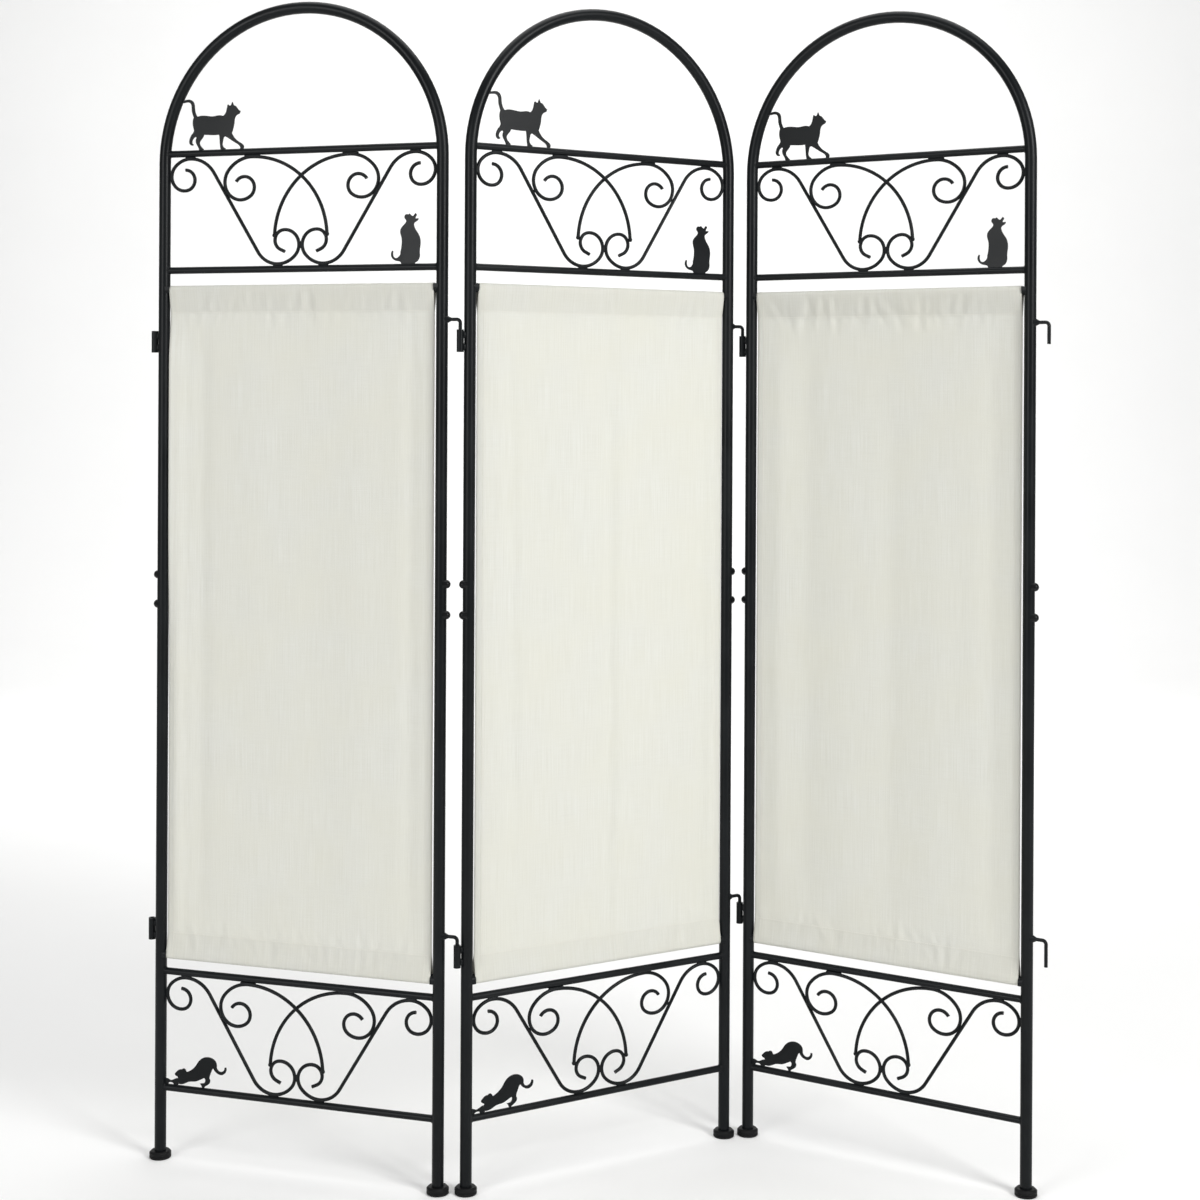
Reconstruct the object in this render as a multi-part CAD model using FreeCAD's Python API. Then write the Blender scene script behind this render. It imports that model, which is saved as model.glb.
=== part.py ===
import FreeCAD, Part
import math
import os

# Three-panel folding screen, 1.6 m tall. Each panel is a welded steel frame: an arched upper
# tube on two bolted legs, four rails, two bays of scrollwork with cut-out cats, and a cloth
# stretched between two rods. Hook pins on a panel's right side drop into sockets on the left
# side of the next, so the panels hinge about vertical axes. Millimetres, +Z up, front to -Y.
# A panel's own frame: x along the panel from its centre line, y to the back, z from the floor.

# Main frame
HEIGHT = 1600.0            # floor to the top of the arch
PITCH = 415.0              # between the centre lines of a panel's two uprights
TUBE_R = 8.0
TUBE_WALL = 1.2
RAIL_R = 4.75
RAIL_WALL = 1.0
RAIL_SPACING = 162.0       # between the two rails that hold a bay of scrollwork
UPPER_RAIL_Z = 1398.0
LOWER_RAIL_Z = 260.5
HALF = PITCH / 2
SPRING_Z = HEIGHT - TUBE_R - HALF      # where the arch meets the straight sides

# Bolted joint between arch tube and legs
SPLIT_Z = 792.0
SLEEVE_LENGTH = 110.0
SLEEVE_GAP = 0.1
SLEEVE_WALL = 1.4
BOLT_OFFSET = 20.5         # each side of the joint
BOLT_R = 3.0
BOLT_HOLE_R = 3.2
BOLT_REACH = 8.0           # shank inside the tube's surface
BOLT_HEAD_R = 5.5
BOLT_HEAD_H = 4.0
FLANGE_R = 7.0
FLANGE_H = 1.8             # outside the tube's surface
FLANGE_ROOT = 3.0          # inside it, before coping
NUT_R = 4.5
NUT_LENGTH = 4.0

# Feet
FOOT_R = 15.0
FOOT_TOP_R = 12.5
FOOT_EDGE = 1.0
FOOT_H = 10.0
FOOT_SHOULDER = 7.5
FOOT_GROOVE_Z = 4.0
FOOT_GROOVE = 0.7
STEM_LENGTH = 22.0
STEM_GAP = 0.1

# Hinge: hook pins and sockets
HOOK_REACH = 26.0          # pin axis from its upright's centre line
HOOK_R = 2.4
HOOK_BEND_R = 5.0
HOOKS = ((1165.5, 29.0), (343.5, 35.0))     # height of the arm, and drop to the pin's end
SOCKET_R = 4.75
SOCKET_BORE_R = 3.0
SOCKET_LENGTH = 30.0
SOCKET_TOPS = (1152.0, 333.0)
SOCKET_STANDOFF = 1.8      # bridged by two welds
SOCKET_OFFSET = TUBE_R + SOCKET_STANDOFF + SOCKET_R
SOCKET_WELD_R = 3.4        # each weld is a bead this thick through
SOCKET_WELD_LENGTH = 3.0   # of its straight middle; the ends are round
SOCKET_WELD_MARGIN = 2.0   # from the socket's ends to the beads'
HOOK_WELD_R = 6.0
HOOK_WELD_LENGTH = 5.0

# Scrollwork: rods bent in arcs, given as (radius, degrees)
ROD_R = 2.4
OUTER_CURL = ((32.0, 47.0), (20.2, 147.0), (14.3, 165.0))
OUTER_TOP_BEND = 42.8
OUTER_FOOT_BEND = 35.2
OUTER_FOOT_TURN = 48.7     # that bend goes on past the lowest point by this much
OUTER_TAIL = ((20.9, 139.5), (14.1, 147.5), (0, 7.0))
INNER_TOP_X = -72.2
INNER_CURL = ((45.3, 53.0), (26.2, 63.0), (24.2, 100.0), (15.1, 200.0))
INNER_ARC = (112.7, 87.7)
ROD_GAP = 0.05             # between a rod and the rail or rod that it is welded to
INNER_PLANE = ROD_R + 2 * ROD_GAP           # one inner rod passes in front of the other

# Weld beads: round bars along the seam, with round ends
WELD_R = 2.0
WELD_DEPTH = 1.0           # from the rail's surface in to the bead's axis
OUTER_TOP_WELD = 12.0
OUTER_FOOT_WELD = 11.0
OUTER_EDGE_WELD = 8.0
CENTRE_WELD = 6.0
INNER_TOP_WELD = 20.0
INNER_TIP_WELD_R = 3.1

# Cats cut from plate
PLATE = 2.0
BITE = 0.6                 # how far a paw or tail runs on into the rail before it is coped

# Cloth, its rods and their cradles
CLOTH_ROD_R = 4.75
CLOTH_ROD_WALL = 1.0
CLOTH_ROD_Z = (1209.0, 284.0)
CLOTH_ROD_END_GAP = 0.6    # from a rod's end to the upright
CLOTH_HALF_WIDTH = 196.7
CLOTH_THICK = 0.9
CLOTH_ROD_CLEARANCE = 0.2
POCKET_DEPTH = 37.0        # from the cloth's edge to the pocket's seam
SEAM_BAND = 3.0            # height over which the pocket's two layers are one
LAYERS_MEET = 0.05         # half the gap left between them where they come together
CRADLE_GAP = 0.15
CRADLE_WALL = 2.2
CRADLE_REACH = 10.4        # from the upright's centre line
CRADLE_ARM = 4.6           # arms stand this far past the rod's axis

ROOT = 2.0                 # hidden roots and cutters run this far past a surface

# How the panels stand: turn of each panel about the vertical
PANELS = ("left", "centre", "right")
TURN = {"left": -17.0, "centre": 30.6, "right": -31.0}

X = FreeCAD.Vector(1, 0, 0)
Y = FreeCAD.Vector(0, 1, 0)
Z = FreeCAD.Vector(0, 0, 1)
SIDES = (-1, 1)


def at(x, z, y=0.0):
    return FreeCAD.Vector(x, y, z)


def fused(shapes):
    """One solid from shapes that touch or overlap."""
    solids = [solid for shape in shapes for solid in shape.Solids]
    whole = solids[0].multiFuse(solids[1:]).removeSplitter()
    return whole.Solids[0] if len(whole.Solids) == 1 else whole


def group(solids):
    """Separate solids that share a node."""
    return Part.makeCompound(solids)


def largest(shape):
    """The piece itself, without the crumbs that a cut may leave."""
    return max(shape.Solids, key=lambda solid: solid.Volume)


def mirrored(shape):
    """The same piece on the other side of the panel's centre line."""
    return shape.mirror(FreeCAD.Vector(0, 0, 0), X)


def pipe(outer_r, inner_r, start, direction, length):
    solid = Part.makeCylinder(outer_r, length, start, direction)
    return solid.cut(Part.makeCylinder(inner_r, length, start, direction))


def swept(edges, radius):
    """A round bar along edges that run on smoothly."""
    path = Part.Wire(edges)
    first = edges[0]
    start = first.valueAt(first.FirstParameter)
    heading = first.tangentAt(first.FirstParameter)
    section = Part.Wire([Part.makeCircle(radius, start, heading)])
    return path.makePipeShell([section], True, False)


def bends(start, heading, turns):
    """Edges of a rod from start, as (radius, degrees) with + to the left; radius 0 is a straight."""
    edges = []
    point = start
    angle = math.radians(heading)
    for radius, amount in turns:
        if radius == 0:
            end = point + at(math.cos(angle), math.sin(angle)) * amount
            edges.append(Part.LineSegment(point, end).toShape())
        else:
            side = math.copysign(1.0, amount)
            centre = point + at(-math.sin(angle), math.cos(angle)) * (side * radius)

            def on_arc(turned):
                a = angle + turned
                return centre - at(-math.sin(a), math.cos(a)) * (side * radius)

            turn = math.radians(amount)
            end = on_arc(turn)
            edges.append(Part.Arc(point, on_arc(turn / 2), end).toShape())
            angle += turn
        point = end
    return edges


def weld(centre, direction, length):
    """A bead: a short round bar with round ends."""
    start = centre - direction * (length / 2)
    end = centre + direction * (length / 2)
    bead = [
        Part.makeCylinder(WELD_R, length, start, direction),
        Part.makeSphere(WELD_R, start),
        Part.makeSphere(WELD_R, end),
    ]
    return fused(bead)


# Uprights, arch and legs


def arch_bar(radius):
    """The arch and both straight sides as a full round bar."""
    left = Part.LineSegment(at(-HALF, SPLIT_Z), at(-HALF, SPRING_Z)).toShape()
    top = Part.Arc(at(-HALF, SPRING_Z), at(0, SPRING_Z + HALF), at(HALF, SPRING_Z)).toShape()
    right = Part.LineSegment(at(HALF, SPRING_Z), at(HALF, SPLIT_Z)).toShape()
    return swept([left, top, right], radius)


def bolt_heights():
    return (SPLIT_Z + BOLT_OFFSET, SPLIT_Z - BOLT_OFFSET)


def bolt_hole(side, z, radius):
    """A hole through the outer wall of an upright only."""
    return Part.makeCylinder(radius, TUBE_R + ROOT, at(side * HALF, z), X * side)


def arch_tube():
    tube = arch_bar(TUBE_R).cut(arch_bar(TUBE_R - TUBE_WALL))
    for side in SIDES:
        tube = tube.cut(bolt_hole(side, SPLIT_Z + BOLT_OFFSET, BOLT_HOLE_R))
    return tube


def leg(side):
    length = SPLIT_Z - FOOT_H
    tube = pipe(TUBE_R, TUBE_R - TUBE_WALL, at(side * HALF, FOOT_H), Z, length)
    return tube.cut(bolt_hole(side, SPLIT_Z - BOLT_OFFSET, BOLT_HOLE_R))


def foot(side):
    """A turned plastic foot: stepped disc with a stem that plugs the leg."""
    stem_r = TUBE_R - TUBE_WALL - STEM_GAP
    profile = [
        at(0, 0),
        at(FOOT_R - FOOT_EDGE, 0),
        at(FOOT_R, FOOT_EDGE),
        at(FOOT_R, FOOT_GROOVE_Z - FOOT_GROOVE),
        at(FOOT_R - FOOT_GROOVE, FOOT_GROOVE_Z),
        at(FOOT_R, FOOT_GROOVE_Z + FOOT_GROOVE),
        at(FOOT_R, FOOT_SHOULDER),
        at(FOOT_TOP_R, FOOT_H),
        at(stem_r, FOOT_H),
        at(stem_r, FOOT_H + STEM_LENGTH),
        at(0, FOOT_H + STEM_LENGTH),
        at(0, 0),
    ]
    face = Part.Face(Part.makePolygon(profile))
    turned = face.revolve(at(0, 0), Z, 360)
    turned.translate(at(side * HALF, 0))
    return turned


def joint_sleeve(side):
    """Inner tube that joins arch and leg, with a nut welded inside behind each bolt."""
    outer = TUBE_R - TUBE_WALL - SLEEVE_GAP
    inner = outer - SLEEVE_WALL
    start = at(side * HALF, SPLIT_Z - SLEEVE_LENGTH / 2)
    sleeve = pipe(outer, inner, start, Z, SLEEVE_LENGTH)
    for z in bolt_heights():
        inside = at(side * (HALF + inner - NUT_LENGTH), z)
        nut = Part.makeCylinder(NUT_R, NUT_LENGTH + SLEEVE_WALL / 2, inside, X * side)
        sleeve = sleeve.fuse(nut)
    for z in bolt_heights():
        sleeve = sleeve.cut(bolt_hole(side, z, BOLT_R + SLEEVE_GAP / 2))
    return sleeve


def joint_bolt(side, z):
    """Dome-headed bolt with a flared flange coped to the tube."""
    outside = at(side * (HALF + TUBE_R), z)
    out = X * side
    root = outside - out * FLANGE_ROOT
    flange = Part.makeCone(FLANGE_R, BOLT_HEAD_R, FLANGE_ROOT + FLANGE_H, root, out)
    dome_r = (BOLT_HEAD_R ** 2 + BOLT_HEAD_H ** 2) / (2 * BOLT_HEAD_H)
    seat = outside + out * FLANGE_H
    ball = Part.makeSphere(dome_r, seat + out * (BOLT_HEAD_H - dome_r))
    dome = ball.common(Part.makeCylinder(BOLT_HEAD_R, BOLT_HEAD_H, seat, out))
    shank = Part.makeCylinder(BOLT_R, BOLT_REACH + ROOT, outside - out * BOLT_REACH, out)
    upright = Part.makeCylinder(TUBE_R, 4 * FLANGE_R, at(side * HALF, z - 2 * FLANGE_R), Z)
    head = fused([flange, dome]).cut(upright)
    return fused([head, shank])


# Rails


def upright_bars():
    """Both uprights as full bars, to cope other pieces against."""
    lower = [Part.makeCylinder(TUBE_R, SPLIT_Z, at(s * HALF, 0), Z) for s in SIDES]
    return arch_bar(TUBE_R).fuse(lower)


def rail_bar(z, radius):
    return Part.makeCylinder(radius, PITCH, at(-HALF, z), X)


def rails(top_z, uprights):
    pair = []
    for z in (top_z, top_z - RAIL_SPACING):
        tube = rail_bar(z, RAIL_R).cut(rail_bar(z, RAIL_R - RAIL_WALL))
        pair.append(largest(tube.cut(uprights)))
    return group(pair)


# Scrollwork, drawn once with the upper rail's axis at z = 0


TOP_LINE = -(RAIL_R + ROD_R + ROD_GAP)
BOTTOM_LINE = -RAIL_SPACING - TOP_LINE
EDGE_LINE = -HALF + TUBE_R + ROD_R + ROD_GAP
CENTRE_LINE = -ROD_R - ROD_GAP


def outer_scroll_path():
    """S-scroll that touches the upright, both rails and its own mirror image, and where."""
    first_r, first_turn = OUTER_CURL[0]
    second_r = OUTER_CURL[1][0]
    turn = math.radians(first_turn)
    top_x = EDGE_LINE + first_r * math.sin(turn) + second_r * (1 - math.sin(turn))
    edge_z = TOP_LINE - first_r * (1 - math.cos(turn)) - second_r * math.cos(turn)

    tail_r = OUTER_TAIL[0][0]
    past = math.radians(OUTER_FOOT_TURN)
    foot_x = CENTRE_LINE - OUTER_FOOT_BEND * math.sin(past) - tail_r * (1 - math.sin(past))
    centre_z = BOTTOM_LINE + OUTER_FOOT_BEND * (1 - math.cos(past)) + tail_r * math.cos(past)

    # The straight is the inner tangent of the top bend and the foot bend
    across = foot_x - top_x
    both = OUTER_TOP_BEND + OUTER_FOOT_BEND
    down = (TOP_LINE - BOTTOM_LINE) - both
    apart = math.hypot(across, down)
    straight = math.sqrt(apart ** 2 - both ** 2)
    slope = math.degrees(math.atan2(down, across) + math.asin(both / apart))

    curl = bends(at(top_x, TOP_LINE), 180, OUTER_CURL)
    run = [(OUTER_TOP_BEND, -slope), (0, straight), (OUTER_FOOT_BEND, slope + OUTER_FOOT_TURN)]
    sweep = bends(at(top_x, TOP_LINE), 0, run + list(OUTER_TAIL))
    touches = {"top_x": top_x, "foot_x": foot_x, "edge_z": edge_z, "centre_z": centre_z}
    return joined(curl, sweep), touches


def inner_scroll_path():
    """Curl under the rail, then one long arc across to the other side's tail."""
    radius, turn = INNER_ARC
    curl = bends(at(INNER_TOP_X, TOP_LINE), 180, INNER_CURL)
    sweep = bends(at(INNER_TOP_X, TOP_LINE), 0, [(radius, -turn)])
    return joined(curl, sweep)


def reversed_arc(edge):
    first, last = edge.FirstParameter, edge.LastParameter
    middle = edge.valueAt((first + last) / 2)
    return Part.Arc(edge.valueAt(last), middle, edge.valueAt(first)).toShape()


def joined(curl, sweep):
    """One run of edges from two that leave the same point in opposite directions."""
    return [reversed_arc(edge) for edge in reversed(curl)] + sweep


def scroll_pairs():
    """Outer and inner pairs for a bay whose upper rail is at z = 0."""
    bars = [rail_bar(0, RAIL_R), rail_bar(-RAIL_SPACING, RAIL_R)]
    for side in SIDES:
        start = at(side * HALF, -2 * RAIL_SPACING)
        bars.append(Part.makeCylinder(TUBE_R, 3 * RAIL_SPACING, start, Z))
    cutters = bars[0].fuse(bars[1:])

    outer_path, touches = outer_scroll_path()
    inner_path = inner_scroll_path()
    top_seam = -(RAIL_R + WELD_DEPTH)
    bottom_seam = -RAIL_SPACING - top_seam
    edge_seam = -HALF + TUBE_R + WELD_DEPTH
    outer_beads = [
        weld(at(touches["top_x"], top_seam), X, OUTER_TOP_WELD),
        weld(at(touches["foot_x"], bottom_seam), X, OUTER_FOOT_WELD),
        weld(at(edge_seam, touches["edge_z"]), Z, OUTER_EDGE_WELD),
    ]
    left = fused([swept(outer_path, ROD_R)] + outer_beads).cut(cutters)
    right = mirrored(left)
    left = fused([left, weld(at(0, touches["centre_z"]), Z, CENTRE_WELD)]).cut(right)
    outer_pair = group([largest(left), largest(right)])

    # The inner rod is tacked to the slope of the outer one, and at its tip to the far tail
    near, far = Part.Wire(outer_path).distToShape(Part.Wire(inner_path))[1][0]
    tip = inner_path[-1].valueAt(inner_path[-1].LastParameter)
    inner_beads = [
        weld(at(INNER_TOP_X, top_seam), X, INNER_TOP_WELD),
        Part.makeSphere(ROD_R, (near + far) * 0.5),
        Part.makeSphere(INNER_TIP_WELD_R, tip),
    ]
    inner = fused([swept(inner_path, ROD_R)] + inner_beads).cut(cutters)
    front = inner.copy()
    front.translate(Y * -INNER_PLANE)
    behind = mirrored(inner)
    behind.translate(Y * INNER_PLANE)
    inner_pair = group([largest(rod.cut(outer_pair)) for rod in (front, behind)])
    return outer_pair, inner_pair


# Cats. Each outline is a list of smooth runs: a run goes on from the last point of the one
# before, and a run of one point is a straight line. x is from the left upright's centre line
# and the second number is height above the rail's top.


WALKING_CAT = (
    ((25.5, 69.0),),
    ((32.5, 70.2), (38.2, 70.4), (42.1, 68.4), (44.6, 64.5), (45.4, 58.5), (46.5, 52.3), (50.1, 46.1)),
    ((58.5, 47.5), (68.5, 46.4), (74.5, 46.0), (81.0, 46.9), (89.5, 46.0)),
    ((92.3, 48.3), (94.3, 52.3), (96.3, 61.2)),
    ((97.4, 61.4),),
    ((98.9, 60.2), (101.5, 60.3)),
    ((103.4, 65.0),),
    ((105.3, 60.3),),
    ((109.8, 57.6), (112.1, 54.6), (115.7, 52.2)),
    ((114.9, 50.0), (113.7, 48.0)),
    ((109.7, 46.2), (107.8, 43.9), (106.1, 35.0), (105.3, 31.0), (102.5, 22.5)),
    ((105.0, 17.8), (111.0, 11.6), (117.3, 7.6), (120.3, 5.0), (120.1, -BITE)),
    ((115.7, -BITE),),
    ((115.9, 2.2), (113.0, 5.6), (108.0, 8.6), (99.0, 14.2), (93.1, 17.6)),
    ((90.5, 16.6), (89.1, 12.0), (88.4, 6.2), (89.8, 3.4), (93.1, 1.2)),
    ((93.1, -BITE),),
    ((85.9, -BITE),),
    ((85.5, 2.4), (84.8, 7.0), (84.3, 14.0), (83.5, 20.4)),
    ((77.5, 20.0), (69.5, 20.3), (59.9, 20.9)),
    ((58.3, 17.4), (55.1, 13.6), (53.4, 10.6), (55.8, 4.6), (59.4, 1.2)),
    ((59.4, -BITE),),
    ((53.0, -BITE),),
    ((50.1, 6.0), (48.0, 10.4), (47.7, 13.6), (48.8, 17.0)),
    ((46.9, 18.2), (43.9, 16.4), (41.8, 12.8), (41.7, 10.2), (43.9, 8.4)),
    ((43.2, 6.8),),
    ((40.1, 7.0), (37.9, 9.6), (37.6, 13.0), (41.1, 21.4)),
    ((43.3, 23.8), (44.7, 27.0), (43.8, 31.4), (42.9, 36.8), (44.3, 45.2)),
    ((42.9, 49.0), (41.4, 54.5), (40.9, 61.0), (39.7, 64.6), (37.0, 66.4), (32.0, 66.5), (25.5, 66.0)),
)
SITTING_CAT = (
    ((356.2, -BITE),),
    ((354.4, 2.4), (349.5, 3.7), (345.5, 5.3), (342.6, 8.0), (341.2, 12.0), (342.9, 17.7)),
    ((344.1, 16.9),),
    ((343.9, 12.0), (345.0, 9.2), (348.4, 7.6), (351.4, 8.6), (354.8, 15.6)),
    ((356.0, 21.0), (356.7, 28.0), (356.3, 34.6), (354.4, 44.0), (358.6, 51.2), (363.0, 57.2), (362.0, 59.4)),
    ((360.6, 61.2), (360.6, 63.8), (362.4, 66.0), (365.7, 65.8)),
    ((367.6, 67.0),),
    ((369.4, 65.4), (371.2, 64.0), (373.6, 64.2)),
    ((376.1, 67.4),),
    ((377.3, 64.0), (375.9, 61.6), (376.4, 60.2)),
    ((380.2, 60.6),),
    ((379.6, 58.2), (376.9, 56.2), (374.4, 49.8)),
    ((375.6, 46.8), (380.6, 39.2), (383.4, 27.0), (382.3, 15.6), (382.5, 11.0), (379.6, 3.6), (376.0, 1.4)),
    ((375.2, -BITE),),
)
STRETCHING_CAT = (
    ((6.0, 6.6),),
    ((12.8, 6.6), (15.0, 5.7), (20.0, 7.0), (27.0, 9.3)),
    ((27.3, 11.0), (25.0, 12.5)),
    ((22.6, 15.5), (25.0, 18.5), (27.5, 20.7), (33.0, 22.0)),
    ((34.5, 23.4), (37.6, 23.2), (39.0, 21.0), (40.5, 19.3)),
    ((49.0, 24.0), (55.0, 30.0), (59.0, 36.0), (64.0, 40.5), (75.0, 43.0), (83.5, 39.5), (86.5, 30.5)),
    ((88.0, 27.0), (91.0, 25.0), (95.0, 25.3), (98.0, 27.5), (99.0, 31.4)),
    ((101.4, 31.4),),
    ((101.2, 26.5), (99.0, 23.0), (95.0, 20.9), (90.0, 21.5), (85.5, 24.0), (82.0, 28.7)),
    ((80.0, 27.0), (78.0, 22.5), (76.0, 17.5), (75.3, 13.5)),
    ((76.5, 10.0), (75.5, 7.0), (72.0, 4.0), (68.0, 1.2)),
    ((67.6, -BITE),),
    ((65.0, -BITE),),
    ((64.0, 2.5), (61.5, 5.5)),
    ((64.0, 6.0), (67.0, 6.5), (69.5, 9.5), (68.0, 14.0)),
    ((61.0, 10.5), (55.0, 8.0), (45.0, 6.5), (38.0, 3.3), (28.0, 2.0)),
    ((26.5, -BITE),),
    ((20.5, -BITE),),
    ((20.0, 2.0), (16.0, 3.0), (12.4, 1.6)),
    ((12.0, -BITE),),
    ((6.0, -BITE),),
)


def cat(outline, rail_z, uprights):
    """Plate cut to the outline, coped to the rail and the upright that it is welded to."""
    base = rail_z + RAIL_R
    runs = [[at(x - HALF, base + height) for x, height in run] for run in outline]
    point = runs[0][0]
    edges = []
    for run in runs[1:] + [runs[0]]:
        if len(run) == 1:
            edges.append(Part.LineSegment(point, run[0]).toShape())
        else:
            curve = Part.BSplineCurve()
            curve.interpolate([point] + run)
            edges.append(curve.toShape())
        point = run[-1]
    face = Part.Face(Part.Wire(edges))
    plate = face.extrude(Y * PLATE)
    plate.translate(Y * (-PLATE / 2))
    return largest(plate.cut(rail_bar(rail_z, RAIL_R)).cut(uprights))


# Hinge parts


def hook(arm_z, drop, uprights):
    """Rod out from the right upright and down, with a weld flare at its root."""
    reach = HOOK_REACH - HOOK_BEND_R
    turns = ((0, reach), (HOOK_BEND_R, -90.0), (0, drop - HOOK_BEND_R))
    rod = swept(bends(at(HALF, arm_z), 0, turns), HOOK_R)
    root = at(HALF + TUBE_R - ROOT, arm_z)
    flare = Part.makeCone(HOOK_WELD_R, HOOK_R, HOOK_WELD_LENGTH + ROOT, root, X)
    return fused([rod, flare]).cut(uprights)


def socket(top_z, uprights):
    """Short tube beside the left upright, held off it by a weld near each end."""
    x = -HALF - SOCKET_OFFSET
    bottom = top_z - SOCKET_LENGTH
    body = Part.makeCylinder(SOCKET_R, SOCKET_LENGTH, at(x, bottom), Z)
    nip_x = -HALF - TUBE_R - SOCKET_STANDOFF / 2
    from_end = SOCKET_WELD_MARGIN + SOCKET_WELD_R + SOCKET_WELD_LENGTH / 2
    beads = []
    for z in (bottom + from_end, top_z - from_end):
        low = at(nip_x, z - SOCKET_WELD_LENGTH / 2)
        high = at(nip_x, z + SOCKET_WELD_LENGTH / 2)
        beads.append(Part.makeCylinder(SOCKET_WELD_R, SOCKET_WELD_LENGTH, low, Z))
        beads.extend(Part.makeSphere(SOCKET_WELD_R, end) for end in (low, high))
    bore = Part.makeCylinder(SOCKET_BORE_R, SOCKET_LENGTH, at(x, bottom), Z)
    return fused([body] + beads).cut(uprights).cut(bore)


# Cloth, rods and cradles


def cloth_rod(z):
    ends = HALF - TUBE_R - CLOTH_ROD_END_GAP
    inner = CLOTH_ROD_R - CLOTH_ROD_WALL
    return pipe(CLOTH_ROD_R, inner, at(-ends, z), X, 2 * ends)


def cradle(side, z, opening, uprights):
    """U-shaped lug that a cloth rod's end lies in, open upward (+1) or downward (-1)."""
    inner = CLOTH_ROD_R + CRADLE_GAP
    outer = inner + CRADLE_WALL

    def on_lug(y, past):
        return at(side * (HALF - CRADLE_REACH), z + opening * past, y)

    outline = [
        Part.LineSegment(on_lug(-outer, CRADLE_ARM), on_lug(-outer, 0)),
        Part.Arc(on_lug(-outer, 0), on_lug(0, -outer), on_lug(outer, 0)),
        Part.LineSegment(on_lug(outer, 0), on_lug(outer, CRADLE_ARM)),
        Part.LineSegment(on_lug(outer, CRADLE_ARM), on_lug(inner, CRADLE_ARM)),
        Part.LineSegment(on_lug(inner, CRADLE_ARM), on_lug(inner, 0)),
        Part.Arc(on_lug(inner, 0), on_lug(0, -inner), on_lug(-inner, 0)),
        Part.LineSegment(on_lug(-inner, 0), on_lug(-inner, CRADLE_ARM)),
        Part.LineSegment(on_lug(-inner, CRADLE_ARM), on_lug(-outer, CRADLE_ARM)),
    ]
    face = Part.Face(Part.Wire([line.toShape() for line in outline]))
    return largest(face.extrude(X * (side * CRADLE_REACH)).cut(uprights))


def teardrop(radius, z, tip_z, tip_half):
    """Bar as wide as the cloth: round a rod at z, and drawn in to the rods' plane at tip_z."""
    left = -CLOTH_HALF_WIDTH
    width = 2 * CLOTH_HALF_WIDTH
    at_rod = [at(left, z, -radius), at(left, z, radius)]
    corners = at_rod + [at(left, tip_z, tip_half), at(left, tip_z, -tip_half)]
    wedge = Part.Face(Part.makePolygon(corners + [corners[0]])).extrude(X * width)
    return Part.makeCylinder(radius, width, at(left, z), X).fuse(wedge)


def seam_height(z, inward):
    """Height of the seam that closes the pocket round the rod at z."""
    return z + inward * (POCKET_DEPTH - CLOTH_ROD_R - CLOTH_ROD_CLEARANCE - CLOTH_THICK)


def pocket(z, inward):
    """Loop of cloth round a rod, closed at the seam. inward is -1 on the top rod, +1 below."""
    inner = CLOTH_ROD_R + CLOTH_ROD_CLEARANCE
    seam_z = seam_height(z, inward)
    outside = teardrop(inner + CLOTH_THICK, z, seam_z, CLOTH_THICK)
    return outside.cut(teardrop(inner, z, seam_z - inward * SEAM_BAND, LAYERS_MEET))


def cloth():
    """Two rod pockets and the single sheet stretched between their seams."""
    top, bottom = CLOTH_ROD_Z
    low = seam_height(bottom, 1) - SEAM_BAND / 2
    high = seam_height(top, -1) + SEAM_BAND / 2
    start = at(-CLOTH_HALF_WIDTH, low, -CLOTH_THICK / 2)
    sheet = Part.makeBox(2 * CLOTH_HALF_WIDTH, CLOTH_THICK, high - low, start)
    return fused([sheet, pocket(top, -1), pocket(bottom, 1)])


# One panel in its own frame, as node name to shape


def panel_nodes():
    uprights = upright_bars()
    outer, inner = scroll_pairs()
    nodes = {
        "arch_tube": arch_tube(),
        "left_leg": leg(-1),
        "right_leg": leg(1),
        "upper_rails": rails(UPPER_RAIL_Z, uprights),
        "lower_rails": rails(LOWER_RAIL_Z, uprights),
        "walking_cat": cat(WALKING_CAT, UPPER_RAIL_Z, uprights),
        "sitting_cat": cat(SITTING_CAT, UPPER_RAIL_Z - RAIL_SPACING, uprights),
        "stretching_cat": cat(STRETCHING_CAT, LOWER_RAIL_Z - RAIL_SPACING, uprights),
        "hooks": group([hook(z, drop, uprights) for z, drop in HOOKS]),
        "sockets": group([socket(z, uprights) for z in SOCKET_TOPS]),
        "feet": group([foot(side) for side in SIDES]),
        "joint_sleeves": group([joint_sleeve(side) for side in SIDES]),
        "joint_bolts": group([joint_bolt(side, z) for side in SIDES for z in bolt_heights()]),
        "cloth": cloth(),
        "cloth_rods": group([cloth_rod(z) for z in CLOTH_ROD_Z]),
    }
    lugs = []
    for side in SIDES:
        for z, opening in zip(CLOTH_ROD_Z, (1, -1)):
            lugs.append(cradle(side, z, opening, uprights))
    nodes["rod_cradles"] = group(lugs)
    for bay, rail_z in (("upper", UPPER_RAIL_Z), ("lower", LOWER_RAIL_Z)):
        for name, pair in (("outer", outer), ("inner", inner)):
            placed = pair.copy()
            placed.translate(Z * rail_z)
            nodes[bay + "_" + name + "_scrolls"] = placed
    return nodes


# Where the panels stand


def along(turn):
    """Unit vector along a panel, from its left side to its right."""
    angle = math.radians(turn)
    return FreeCAD.Vector(math.cos(angle), math.sin(angle), 0)


def panel_centres():
    """Centre of each panel on the floor, with the centre panel at the origin, and the hinges."""
    pin = HALF + HOOK_REACH
    seat = HALF + SOCKET_OFFSET
    left_hinge = along(TURN["centre"]) * -seat
    right_hinge = along(TURN["centre"]) * pin
    centres = {
        "left": left_hinge - along(TURN["left"]) * pin,
        "centre": FreeCAD.Vector(0, 0, 0),
        "right": right_hinge + along(TURN["right"]) * seat,
    }
    return centres, left_hinge, right_hinge


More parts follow.
